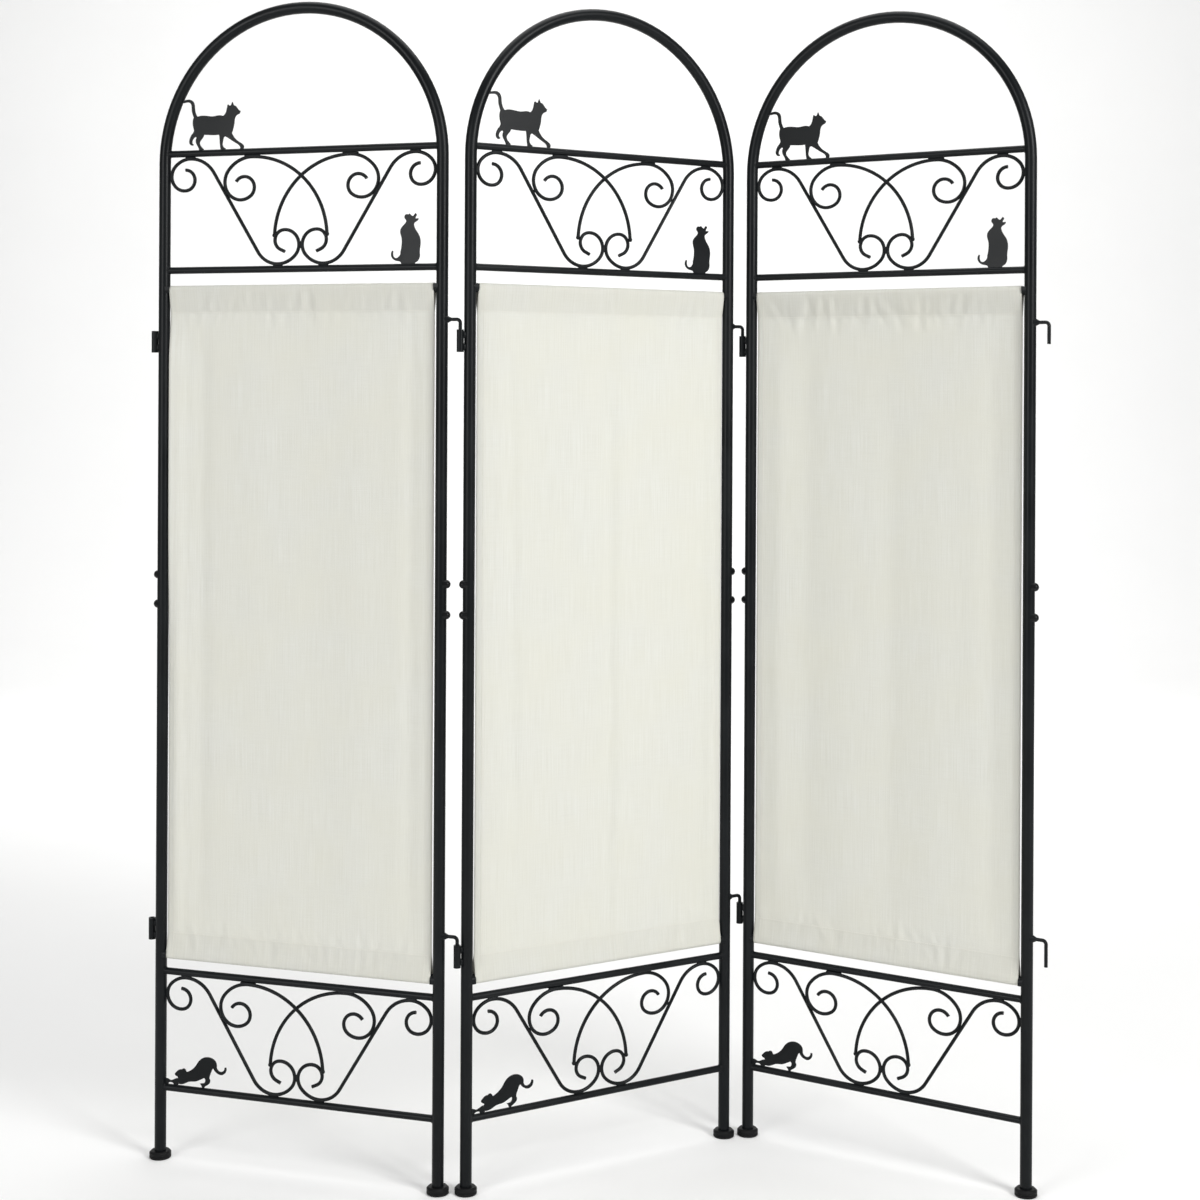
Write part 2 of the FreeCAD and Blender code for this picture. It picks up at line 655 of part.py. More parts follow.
def plan_middle(centres):
    """Middle of the box round the screen in plan, from its outermost round parts."""
    rounds = (
        (-HALF, FOOT_R),
        (HALF, FOOT_R),
        (-HALF - SOCKET_OFFSET, SOCKET_R),
        (HALF + HOOK_REACH, HOOK_R),
    )
    low = FreeCAD.Vector(1e6, 1e6, 0)
    high = FreeCAD.Vector(-1e6, -1e6, 0)
    for name in PANELS:
        for offset, radius in rounds:
            point = centres[name] + along(TURN[name]) * offset
            low = FreeCAD.Vector(min(low.x, point.x - radius), min(low.y, point.y - radius), 0)
            high = FreeCAD.Vector(max(high.x, point.x + radius), max(high.y, point.y + radius), 0)
    return (low + high) * 0.5


def main():
    os.makedirs("parts", exist_ok=True)
    centres, left_hinge, right_hinge = panel_centres()
    middle = plan_middle(centres)
    nodes = panel_nodes()
    for name in PANELS:
        place = FreeCAD.Placement(centres[name] - middle, FreeCAD.Rotation(Z, TURN[name]))
        print("panel", name, "centre", centres[name] - middle, "turn", TURN[name])
        for node, shape in nodes.items():
            placed = shape.copy()
            placed.Placement = place.multiply(placed.Placement)
            placed.exportStep("parts/" + name + "_" + node + ".step")
    print("left hinge", left_hinge - middle)
    print("right hinge", right_hinge - middle)
    for node, shape in nodes.items():
        solids = shape.Solids
        print(node, len(solids), shape.isValid(), [round(solid.Volume) for solid in solids])


main()
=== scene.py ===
import math

import bpy
import numpy as np
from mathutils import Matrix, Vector, noise


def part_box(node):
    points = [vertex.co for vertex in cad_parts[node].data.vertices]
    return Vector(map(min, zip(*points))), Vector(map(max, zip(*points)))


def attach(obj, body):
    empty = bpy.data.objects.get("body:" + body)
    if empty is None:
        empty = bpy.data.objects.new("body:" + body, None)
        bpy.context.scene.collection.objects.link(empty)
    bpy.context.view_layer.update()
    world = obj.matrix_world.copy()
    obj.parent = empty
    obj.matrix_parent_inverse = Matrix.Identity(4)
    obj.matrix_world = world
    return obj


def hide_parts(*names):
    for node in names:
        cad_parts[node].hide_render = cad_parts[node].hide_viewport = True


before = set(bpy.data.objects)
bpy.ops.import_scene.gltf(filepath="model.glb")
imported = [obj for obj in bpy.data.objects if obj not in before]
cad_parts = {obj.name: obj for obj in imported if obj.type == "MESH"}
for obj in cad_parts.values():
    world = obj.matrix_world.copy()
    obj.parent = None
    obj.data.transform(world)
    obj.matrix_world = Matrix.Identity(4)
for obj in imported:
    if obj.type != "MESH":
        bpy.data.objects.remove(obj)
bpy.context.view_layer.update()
scene = bpy.context.scene

# Three-panel folding screen: black powder-coated steel with a stretched cream cloth in each
# panel. Metres, row frame. In a panel's own frame u runs along the panel from its middle, v to
# the back and z up.

MM = 0.001
PANELS = ("left", "centre", "right")

TUBE_R = 8 * MM
RAIL_R = 4.75 * MM
ROD_R = 4.75 * MM

CLOTH_THICK = 0.45 * MM
LAYER = 0.5 * MM                  # between the middles of two layers of cloth
LOOP_R = ROD_R + 0.95 * MM        # middle of the cloth where it goes round a rod
CLOTH_HALF = 197 * MM
POCKET = 37 * MM                  # from the cloth's edge to the seam of the rod pocket
SEAM_TO_FOLD = 2.5 * MM           # the flap's folded edge stands this far past the seam
RING_ROWS = 9                     # of points round the outer half of each rod
TURN_IN = 5 * MM                  # raw edge turned in behind each pocket seam
HEM = 11 * MM
HEM_STITCH = 9.5 * MM
STITCH = 3 * MM
THREAD_R = 0.2 * MM
CELL = 4 * MM                     # between neighbouring points of the sheet
CELLS_START = 19 * MM             # from an edge or a seam to where the even cells start
GATHER = 0.013                    # extra length of the cloth beside a seam
SLACK = 0.002                     # and everywhere
RUCK_DEPTH = 0.55 * MM            # of the small rucks beside a seam
RUCK_WIDTH = 17 * MM
RUCK_LEAN = 1.6                   # how far a ruck leans sideways as it leaves the seam
FOLD_START = 60 * MM              # from a seam to where the broad folds are at full depth

# How hard the sheet's springs pull in each round of settling
THREAD_PULL = 0.9
SHEAR_PULL = 0.25
BEND_PULL = 0.10

BEAD_R = 1.35 * MM                # weld beads at the rails' ends
BEAD_SUNK = 0.25 * MM


class Panel:
    """A panel's own axes, taken from where its two legs stand."""

    def __init__(self, name):
        low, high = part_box(name + "_left_leg")
        left = (low + high) / 2
        low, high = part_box(name + "_right_leg")
        right = (low + high) / 2
        self.name = name
        self.body = name + "_panel"
        self.middle = Vector(((left.x + right.x) / 2, (left.y + right.y) / 2, 0))
        self.half = (right - left).length / 2
        self.along = (right - left).normalized()
        self.back = Vector((-self.along.y, self.along.x, 0))

    def place(self, points):
        """Row-frame points for an array of (u, v, z)."""
        axes = np.array([self.along, self.back, (0, 0, 1)], float)
        return np.asarray(points, float) @ axes + np.array(self.middle, float)


def new_mesh(name, points, faces, panel, material):
    """A smooth-shaded piece that rides on its panel."""
    mesh = bpy.data.meshes.new(name)
    mesh.from_pydata([tuple(p) for p in points], [], [tuple(int(i) for i in f) for f in faces])
    mesh.validate()
    mesh.materials.append(material)
    mesh.polygons.foreach_set("use_smooth", [True] * len(mesh.polygons))
    piece = bpy.data.objects.new(name, mesh)
    scene.collection.objects.link(piece)
    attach(piece, panel.body)
    return piece


# Materials

THREAD_PITCH = 0.62 * MM          # of the cloth's yarns
LET_THROUGH = 0.22                # share of the light that passes through the cloth
CREAM = (0.776, 0.779, 0.732)


class Nodes:
    """Short calls for building a material's nodes."""

    def __init__(self, name):
        self.material = bpy.data.materials.new(name)
        self.material.use_nodes = True
        self.tree = self.material.node_tree
        self.shader = self.tree.nodes["Principled BSDF"]
        self.output = self.tree.nodes["Material Output"]
        self.coords = self.tree.nodes.new("ShaderNodeTexCoord")

    def paint(self, colour=None, roughness=None, normal=None):
        """Links what is given to the shader's own sockets."""
        given = {"Base Color": colour, "Roughness": roughness, "Normal": normal}
        for key, value in given.items():
            if value is not None:
                self.link(value, self.shader.inputs[key])

    def add(self, kind, **values):
        node = self.tree.nodes.new(kind)
        for key, value in values.items():
            setattr(node, key, value)
        return node

    def link(self, source, target):
        self.tree.links.new(source, target)

    def noise(self, scale, detail=2.0, roughness=0.5, vector=None):
        node = self.add("ShaderNodeTexNoise")
        node.inputs["Scale"].default_value = scale
        node.inputs["Detail"].default_value = detail
        node.inputs["Roughness"].default_value = roughness
        self.link(vector or self.coords.outputs["Object"], node.inputs["Vector"])
        return node.outputs["Fac"]

    def spread(self, value, low, high, to_low=0.0, to_high=1.0):
        """Maps low..high to to_low..to_high and holds it there beyond."""
        node = self.add("ShaderNodeMapRange")
        ends = {"From Min": low, "From Max": high, "To Min": to_low, "To Max": to_high}
        for key, number in ends.items():
            node.inputs[key].default_value = number
        self.link(value, node.inputs["Value"])
        return node.outputs["Result"]

    def math(self, operation, a, b=None):
        node = self.add("ShaderNodeMath", operation=operation)
        for socket, value in zip(node.inputs, (a, b)):
            if value is None:
                continue
            if isinstance(value, (int, float)):
                socket.default_value = value
            else:
                self.link(value, socket)
        return node.outputs["Value"]

    def mix(self, factor, a, b):
        node = self.add("ShaderNodeMix", data_type="RGBA")
        for key, value in (("Factor", factor), ("A", a), ("B", b)):
            if isinstance(value, tuple):
                node.inputs[key].default_value = (*value, 1.0)
            else:
                self.link(value, node.inputs[key])
        return node.outputs["Result"]

    def surface(self, factor, first, second):
        """Sends a mix of two shaders to the material's surface."""
        node = self.add("ShaderNodeMixShader")
        if isinstance(factor, float):
            node.inputs["Fac"].default_value = factor
        else:
            self.link(factor, node.inputs["Fac"])
        self.link(first, node.inputs[1])
        self.link(second, node.inputs[2])
        self.link(node.outputs["Shader"], self.output.inputs["Surface"])

    def bump(self, height, distance, strength=1.0, under=None):
        node = self.add("ShaderNodeBump")
        node.inputs["Distance"].default_value = distance
        node.inputs["Strength"].default_value = strength
        self.link(height, node.inputs["Height"])
        if under is not None:
            self.link(under, node.inputs["Normal"])
        return node.outputs["Normal"]


def powder_coat(name, dark, light, rough, peel):
    """Semi-matt stoved powder: fine orange peel, and gloss and shade that vary slowly."""
    n = Nodes(name)
    slow = n.noise(14.0, detail=3.0)
    fine = n.noise(700.0, detail=2.0)
    speck = n.noise(2600.0, detail=1.0)
    shade = n.mix(n.spread(slow, 0.35, 0.65), dark, light)
    patches = n.spread(slow, 0.3, 0.7, rough - 0.05, rough + 0.05)
    gloss = n.math("ADD", patches, n.spread(speck, 0.3, 0.7, -0.03, 0.03))
    n.paint(shade, gloss, n.bump(speck, 0.02 * MM, 0.4, n.bump(fine, peel)))
    n.shader.inputs["Specular IOR Level"].default_value = 0.15
    return n.material


def steel(name):
    """Bright zinc with a soft grain along the tube."""
    n = Nodes(name)
    mapping = n.add("ShaderNodeMapping")
    mapping.inputs["Scale"].default_value = (1.0, 1.0, 0.06)
    n.link(n.coords.outputs["Object"], mapping.inputs["Vector"])
    grain = n.noise(900.0, detail=3.0, vector=mapping.outputs["Vector"])
    cloud = n.noise(60.0, detail=4.0)
    shade = n.mix(n.spread(cloud, 0.3, 0.7), (0.50, 0.51, 0.53), (0.62, 0.63, 0.64))
    n.paint(shade, n.spread(grain, 0.3, 0.7, 0.28, 0.42), n.bump(grain, 0.02 * MM))
    n.shader.inputs["Metallic"].default_value = 1.0
    return n.material


def tinted(shade, *factors):
    """A colour with its red, green and blue each multiplied."""
    return tuple(c * f for c, f in zip(shade, factors))


def woven(name, shade, double_from):
    """Plain weave of slightly slubby yarn. The UV map holds the cut cloth's own metres from its
    middle; further along than double_from the cloth is double, and there its colour is painted a
    little darker and yellower: painted shade for the light that the second layer holds back."""
    n = Nodes(name)
    uv = n.add("ShaderNodeUVMap", uv_map="cut")
    split = n.add("ShaderNodeSeparateXYZ")
    n.link(uv.outputs["UV"], split.inputs["Vector"])
    across, along = split.outputs["X"], split.outputs["Y"]

    drift = n.noise(35.0, detail=2.0, vector=uv.outputs["UV"])
    wander = n.spread(drift, 0.0, 1.0, -0.6 * MM, 0.6 * MM)
    turns = 2 * math.pi / (2 * THREAD_PITCH)
    warp = n.math("SINE", n.math("MULTIPLY", n.math("ADD", across, wander), turns))
    weft = n.math("SINE", n.math("MULTIPLY", n.math("ADD", along, wander), turns))
    check = n.math("MULTIPLY", warp, weft)

    def slubs(scale_across, scale_along):
        """Thick and thin places that run along one set of threads."""
        mapping = n.add("ShaderNodeMapping")
        mapping.inputs["Scale"].default_value = (scale_across, scale_along, 1.0)
        n.link(uv.outputs["UV"], mapping.inputs["Vector"])
        return n.noise(1.0, detail=2.0, roughness=0.6, vector=mapping.outputs["Vector"])

    warp_slub = slubs(800.0, 14.0)
    weft_slub = slubs(26.0, 900.0)
    slub = n.math("ADD", n.math("MULTIPLY", warp_slub, 0.72), n.math("MULTIPLY", weft_slub, 0.28))
    cloud = n.noise(9.0, detail=3.0, vector=uv.outputs["UV"])

    pale = tinted(shade, 1.03, 1.03, 1.03)
    deep = tinted(shade, 0.955, 0.950, 0.930)
    thready = n.mix(n.spread(slub, 0.36, 0.64), deep, pale)
    warm = tinted(shade, 1.0, 0.985, 0.925)
    clouded = n.mix(n.spread(cloud, 0.35, 0.65, 0.0, 0.45), thready, warm)
    # painted shade: where the weave's check is low, in the hollows between the yarns, the colour is
    # mixed up to a tenth towards 0.72 of the cloth's own
    groove_shade = tinted(shade, 0.72, 0.72, 0.72)
    with_groove_shade = n.mix(n.spread(check, -1.0, 1.0, 0.10, 0.0), clouded, groove_shade)
    # painted shade: in the pockets, where the cloth is double, the colour is mixed up to 5.5 %
    # towards a darker, yellower tint for the light that the second layer holds back
    seam_start, seam_end = double_from - 0.5 * MM, double_from + 1.5 * MM
    double = n.spread(n.math("ABSOLUTE", along), seam_start, seam_end, 0.0, 0.055)
    with_double_shade = n.mix(double, with_groove_shade, tinted(shade, 0.50, 0.47, 0.38))

    height = n.math("ADD", n.math("MULTIPLY", check, 0.5), n.math("MULTIPLY", slub, 2.2))
    relief = n.bump(height, 0.09 * MM, 0.8)
    n.paint(with_double_shade, n.spread(slub, 0.3, 0.7, 0.95, 0.82), relief)
    n.shader.inputs["Specular IOR Level"].default_value = 0.25
    n.shader.inputs["Sheen Weight"].default_value = 0.12
    n.shader.inputs["Sheen Roughness"].default_value = 0.5

    through = n.add("ShaderNodeBsdfTranslucent")
    n.link(with_double_shade, through.inputs["Color"])
    n.link(relief, through.inputs["Normal"])
    n.surface(LET_THROUGH, n.shader.outputs["BSDF"], through.outputs["BSDF"])
    return n.material


def spun_thread(name, shade):
    """Sewing thread with the lie of its twist."""
    n = Nodes(name)
    twist = n.noise(4200.0, detail=2.0)
    colour = n.mix(n.spread(twist, 0.3, 0.7), tinted(shade, 0.86, 0.86, 0.86), shade)
    n.paint(colour, n.spread(twist, 0.3, 0.7, 0.55, 0.75), n.bump(twist, 0.04 * MM))
    return n.material


def rod_lines(name):
    """Heights of the centre lines of a panel's upper and lower cloth rods."""
    low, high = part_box(name + "_cloth_rods")
    return high.z - ROD_R, low.z + ROD_R


def single_half():
    """Half the length of cloth between the two pockets' seams."""
    top_rod, bottom_rod = rod_lines("centre")
    return (top_rod - bottom_rod) / 2 + LOOP_R - POCKET


coat = powder_coat(
    "powder_coat_black", (0.0042, 0.0052, 0.0060), (0.0066, 0.0080, 0.0090), 0.34, 0.04 * MM)
rod_coat = powder_coat(
    "powder_coat_rods", (0.0045, 0.0054, 0.0060), (0.0068, 0.0078, 0.0084), 0.38, 0.04 * MM)
bolt_coat = powder_coat(
    "bolt_black", (0.0060, 0.0062, 0.0070), (0.0100, 0.0104, 0.0110), 0.28, 0.02 * MM)
foot_plastic = powder_coat(
    "moulded_black", (0.0050, 0.0052, 0.0056), (0.0080, 0.0082, 0.0086), 0.50, 0.06 * MM)
zinc = steel("sleeve_zinc")
cream_cloth = woven("cream_plain_weave", CREAM, single_half())
cream_thread = spun_thread("cream_thread", (0.83, 0.81, 0.73))

NODE_MATERIALS = {
    "feet": foot_plastic,
    "joint_bolts": bolt_coat,
    "joint_sleeves": zinc,
    "cloth_rods": rod_coat,
}
for node_name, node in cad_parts.items():
    kind = node_name.split("_", 1)[1]
    node.data.materials.clear()
    node.data.materials.append(NODE_MATERIALS.get(kind, coat))
    node.data.update()


# Cloth. A fold is (middle across the cloth from 0 to 1, half-width in mm, depth in mm with +
# to the front, height where it is deepest and half its length, both as shares of the height).

FOLDS = {
    "left": (
        (0.000, 9.0, 4.5, 0.80, 0.34),
        (0.035, 9.0, 2.0, 0.45, 0.80),
        (0.125, 14.0, -1.7, 0.55, 0.70),
        (0.330, 30.0, 0.8, 0.75, 0.35),
        (0.560, 34.0, -0.7, 0.30, 0.40),
        (0.720, 28.0, 0.8, 0.50, 0.60),
        (0.915, 13.0, -1.8, 0.50, 0.75),
    ),
    "centre": (
        (0.075, 12.0, -1.6, 0.75, 0.35),
        (0.140, 12.0, 2.2, 0.60, 0.55),
        (0.330, 40.0, -1.0, 0.50, 0.60),
        (0.530, 10.0, 1.5, 0.45, 0.50),
        (0.580, 15.0, -1.5, 0.55, 0.50),
        (0.760, 30.0, 0.9, 0.40, 0.50),
        (0.960, 10.0, -1.2, 0.40, 0.50),
    ),
    "right": (
        (0.090, 15.0, 1.1, 0.45, 0.70),
        (0.200, 20.0, -1.4, 0.48, 0.70),
        (0.350, 26.0, 0.9, 0.35, 0.50),
        (0.520, 20.0, -1.4, 0.40, 0.55),
        (0.690, 28.0, 1.0, 0.35, 0.55),
        (0.895, 18.0, -1.6, 0.45, 0.70),
    ),
}
LEAN = {"left": 0.0, "centre": 0.035, "right": 0.0}     # the first folds of a panel drift sideways


def folds_at(name, across, high):
    """Depth in metres, + to the back, of the folds at a point of the cloth."""
    depth = 0.0
    for middle, half_mm, deep_mm, best, reach in FOLDS[name]:
        middle = middle + LEAN[name] * (0.5 - high) * (middle < 0.2)
        over = (across - middle) * 2 * CLOTH_HALF / (half_mm * MM)
        up = (high - best) / reach
        depth -= deep_mm * MM * math.exp(-over * over) * math.exp(-2 * up ** 4)
    return depth


def columns():
    """Places across the cloth: close together in the hems, and a cell apart between them."""
    edge = [0.0, 3 * MM, 6 * MM, HEM_STITCH, 13 * MM]
    reach = CLOTH_HALF - CELLS_START
    inner = np.linspace(-reach, reach, round(2 * reach / CELL) + 1)
    left = [-CLOTH_HALF + e for e in edge]
    return np.array(left + list(inner) + [-x for x in reversed(left)])


def heights(top_rod, bottom_rod):
    """Heights down the front, with the index of each pocket's seam."""
    top_seam = top_rod + LOOP_R - POCKET
    bottom_seam = bottom_rod - LOOP_R + POCKET
    pocket = [0.0, 6 * MM, 11 * MM, 15 * MM, 19 * MM, 23 * MM, 27 * MM]
    upper = [top_rod - p for p in pocket]
    lower = [bottom_rod + p for p in reversed(pocket)]
    near = [4 * MM, 8 * MM, 13 * MM]
    highest, lowest = top_seam - CELLS_START, bottom_seam + CELLS_START
    count = round((highest - lowest) / CELL)
    middle = list(np.linspace(highest, lowest, count + 1))
    rows = upper + [top_seam] + [top_seam - d for d in near] + middle
    rows += [bottom_seam + d for d in reversed(near)] + [bottom_seam] + lower
    return np.array(rows), len(upper), len(rows) - 1 - len(lower)


def wavy(x, seed, scale):
    """Smooth noise between about -1 and 1, the same each run."""
    return 2 * noise.noise(Vector((x / scale, seed * 7.31, seed * 1.7)))


def front_sheet(panel, us, zs, seams, seed):
    """The sheet between the two rods, as sewn and as it would lie with nothing holding it."""
    top, bottom = zs[0], zs[-1]
    sewn = np.zeros((len(zs), len(us), 3))
    slack = np.zeros_like(sewn)
    seam_z = [zs[k] for k in seams]
    for j, z in enumerate(zs):
        high = (z - bottom) / (top - bottom)
        past = min(abs(z - s) for s in seam_z)
        nearest = seam_z[0] if high > 0.5 else seam_z[1]
        end = seed if high > 0.5 else seed + 40
        inside = z > seam_z[0] or z < seam_z[1]
        rod_z = top if z > seam_z[0] else bottom
        share = abs(z - rod_z) / (POCKET - LOOP_R) if inside else 1.0
        v = -LOOP_R * (1 - share) - 0.5 * LAYER * share
        fold_share = 0.0 if inside else min(1.0, past / FOLD_START)
        fade = math.exp(-(past / (30 * MM if inside else 11 * MM)) ** 2)
        spread = 22 * MM if inside else 13 * MM
        gather = GATHER * math.exp(-(past / spread) ** 2) * (j not in seams) + SLACK
        extra = 0.0
        for i, u in enumerate(us):
            across = (u + CLOTH_HALF) / (2 * CLOTH_HALF)
            fold = folds_at(panel.name, across, high) * fold_share
            if j in (0, len(zs) - 1):
                wave = 0.0
            elif j in seams:
                wave = 0.40 * MM * wavy(u, end, RUCK_WIDTH) + 0.15 * MM * wavy(u, end + 3, 8 * MM)
            else:
                lean = u + (z - nearest) * RUCK_LEAN * wavy(u, end + 5, 70 * MM)
                wave = RUCK_DEPTH * wavy(lean, end, RUCK_WIDTH) * fade
            sewn[j, i] = (u, v + fold + wave, z)
            if i:
                from_edge = min(1.0, (CLOTH_HALF - abs(u)) / (40 * MM))
                local = (0.25 + 1.6 * abs(wavy(u, end + 11, 28 * MM))) * from_edge
                extra += (us[i] - us[i - 1]) * gather * local
            slack[j, i] = (u + extra, v + fold * 1.1, top - (top - z) * 0.9992)
        slack[j, :, 0] -= extra / 2
    return sewn, slack


def grid_faces(rows, count):
    start = np.arange(rows - 1)[:, None] * count + np.arange(count - 1)[None, :]
    return np.stack([start, start + 1, start + count + 1, start + count], axis=-1).reshape(-1, 4)


def spring_sets(slack, straight):
    """Springs of the sheet in sets that share no point: threads, then shear, then bending.
    Lengths across come from the gathered sheet, the others from the same sheet ungathered."""
    rows, count = slack.shape[:2]
    sets = []

    def add(first, second, stiffness, shape):
        rest = np.linalg.norm(shape[second] - shape[first], axis=-1)
        sets.append((first, second, rest, stiffness))

    every = slice(None)
    for part in (0, 1):
        ends = count - (count - part) % 2
        add((every, slice(part, ends, 2)), (every, slice(part + 1, ends, 2)), THREAD_PULL, slack)
        ends = rows - (rows - part) % 2
        upper, lower = slice(part, ends, 2), slice(part + 1, ends, 2)
        add((upper, every), (lower, every), THREAD_PULL, straight)
        add((upper, slice(0, -1)), (lower, slice(1, None)), SHEAR_PULL, straight)
        add((upper, slice(1, None)), (lower, slice(0, -1)), SHEAR_PULL, straight)
    for part in range(4):
        stop = part + 4 * ((count - part + 1) // 4)
        near, far = slice(part, stop - 3, 4), slice(part + 2, stop - 1, 4)
        add((every, near), (every, far), BEND_PULL, slack)
        stop = part + 4 * ((rows - part + 1) // 4)
        near, far = slice(part, stop - 3, 4), slice(part + 2, stop - 1, 4)
        add((near, every), (far, every), BEND_PULL, straight)
    return sets


def settle(sewn, slack, seams, rounds=500):
    """Cloth simulation: the sheet's threads pull to their own lengths, round after round, with
    its rods and seams held."""
    sheet = sewn.copy()
    loose = np.ones(sheet.shape[:2])
    loose[[0, -1, *seams]] = 0.0
    straight = slack.copy()
    straight[:, :, 0] = sewn[:, :, 0]
    sets = spring_sets(slack, straight)
    for _ in range(rounds):
        for first, second, rest, stiffness in sets:
            gap = sheet[second] - sheet[first]
            length = np.sqrt((gap * gap).sum(axis=-1))
            free_a, free_b = loose[first], loose[second]
            share = stiffness * (length - rest) / (length * np.maximum(free_a + free_b, 1.0))
            pull = gap * share[..., None]
            sheet[first] += pull * free_a[..., None]
            sheet[second] -= pull * free_b[..., None]
        sheet[:, [0, -1], 0] = sewn[:, [0, -1], 0]
    return sheet


def across_row(points, us, u):
    """A row of points read at a place across it."""
    return np.array([np.interp(u, us, points[:, k]) for k in range(3)])


def pocket_rows(edge_row, seam_row, rod_z, up):
    """Rows from the flap's turned-in edge round the back of the rod to the front, in order."""
    rows = []
    seam = seam_row.copy()
    away = np.array([0.0, 0.0, -up])
    back = np.array([0.0, 1.0, 0.0])
    rows.append(seam + back * 1.0 * LAYER - away * TURN_IN)
    rows.append(seam + back * 1.0 * LAYER + away * (SEAM_TO_FOLD - 0.4 * MM))
    rows.append(seam + back * 1.4 * LAYER + away * SEAM_TO_FOLD)
    rows.append(seam + back * 2.0 * LAYER + away * (SEAM_TO_FOLD - 0.5 * MM))
    rows.append(seam + back * 2.0 * LAYER)
    behind = edge_row.copy()
    behind[:, 1] = LOOP_R
    for share in (0.25, 0.5, 0.75):
        straight = (seam + back * 2.0 * LAYER) * (1 - share) + behind * share
        straight[:, 1] += 0.35 * MM * math.sin(math.pi * share)
        rows.append(straight)
    for k in range(RING_ROWS):
        angle = math.pi * k / RING_ROWS
        ring = edge_row.copy()
        ring[:, 1] = LOOP_R * math.cos(angle)
        ring[:, 2] = rod_z + up * LOOP_R * math.sin(angle)
        rows.append(ring)
    return rows


def cloth_rows(front, seams, top_rod, bottom_rod):
    """Every row of the cloth along its cut length, from one pocket's hem to the other's."""
    upper = pocket_rows(front[0], front[seams[0]], top_rod, 1)
    lower = pocket_rows(front[-1], front[seams[1]], bottom_rod, -1)
    return np.array(upper + list(front) + list(reversed(lower))), len(upper)


def with_hems(rows, us):
    """Adds the side hems: each edge turned to the inside and lying on the back of the cloth."""
    across = np.gradient(rows, axis=1)
    along = np.gradient(rows, axis=0)
    normal = np.cross(across, along)
    normal /= np.linalg.norm(normal, axis=2, keepdims=True)
    if normal[len(rows) // 2, rows.shape[1] // 2, 1] < 0:
        normal = -normal
    turned = ((HEM, 0.55), (HEM, 1.0), (HEM / 2, 1.0), (0.3 * MM, 1.0))
    wide = []
    for row, inward in zip(rows, normal):
        left = [across_row(row, us, us[0] + d) + across_row(inward, us, us[0] + d) * LAYER * k
                for d, k in turned]
        left.append(row[0] + inward[0] * LAYER * 0.5 - (row[1] - row[0]) / 3 * 0.09)
        right = [across_row(row, us, us[-1] - d) + across_row(inward, us, us[-1] - d) * LAYER * k
                 for d, k in turned]
        right.append(row[-1] + inward[-1] * LAYER * 0.5 - (row[-2] - row[-1]) / 3 * 0.09)
        wide.append(left + list(row) + right[::-1])
    hem_cut = [HEM + 0.4 * MM, HEM, HEM / 2, 0.4 * MM, 0.2 * MM]
    cut = [us[0] - d for d in hem_cut] + list(us) + [us[-1] + d for d in hem_cut[::-1]]
    return np.array(wide), np.array(cut), normal


def cut_lengths(rows):
    """Distance along the cut for each row, down the middle of the cloth."""
    middle = rows[:, rows.shape[1] // 2]
    steps = np.linalg.norm(np.diff(middle, axis=0), axis=1)
    return np.concatenate([[0.0], np.cumsum(steps)])


def stitch_line(points, normals, lift):
    """Small thread stitches along a line of points that are a stitch apart."""
    verts = []
    faces = []
    sides = 6
    # where along the stitch, how high in thread radii, and how thick
    rings = ((0.06, -0.25, 0.6), (0.18, 0.35, 0.95), (0.5, 0.7, 1.0),
             (0.82, 0.35, 0.95), (0.94, -0.25, 0.6))
    last = len(rings) - 1
    for a, b, n in zip(points[:-1], points[1:], normals[:-1]):
        run = b - a
        length = np.linalg.norm(run)
        run = run / length
        n = n / np.linalg.norm(n)
        side = np.cross(run, n)
        base = len(verts)
        for t, rise, fat in rings:
            centre = a + run * length * t + n * (lift + THREAD_R * rise)
            for k in range(sides):
                angle = 2 * math.pi * k / sides
                spoke = n * math.sin(angle) + side * math.cos(angle)
                verts.append(centre + spoke * THREAD_R * fat)
        for ring in range(last):
            here, after = base + ring * sides, base + (ring + 1) * sides
            for k in range(sides):
                m = (k + 1) % sides
                faces.append((here + k, here + m, after + m, after + k))
        faces.append(tuple(base + k for k in reversed(range(sides))))
        faces.append(tuple(base + last * sides + k for k in range(sides)))
    return verts, faces


def spaced(line, normals, step):
    """The line again, with points a stitch apart."""
    along = np.concatenate([[0.0], np.cumsum(np.linalg.norm(np.diff(line, axis=0), axis=1))])
    at = np.linspace(0, along[-1], max(2, round(along[-1] / step) + 1))
    place = np.stack([np.interp(at, along, line[:, k]) for k in range(3)], axis=1)
    facing = np.stack([np.interp(at, along, normals[:, k]) for k in range(3)], axis=1)
    return place, facing


def joined(parts):
    """One list of points and one of faces from several pairs of them."""
    verts = []
    faces = []
    for some_verts, some_faces in parts:
        start = len(verts)
        verts.extend(some_verts)
        faces.extend(tuple(start + k for k in face) for face in some_faces)
    return verts, faces


def set_cut_map(piece, cut_u, lengths):
    """UV map with the cut cloth's own metres from its middle."""
    layer = piece.data.uv_layers.new(name="cut")
    from_middle = lengths - lengths[-1] / 2
    uv = np.stack(np.broadcast_arrays(cut_u[None, :], from_middle[:, None]), axis=-1).reshape(-1, 2)
    loops = np.zeros(len(piece.data.loops), np.int32)
    piece.data.loops.foreach_get("vertex_index", loops)
    layer.data.foreach_set("uv", uv[loops].astype(np.float32).reshape(-1))


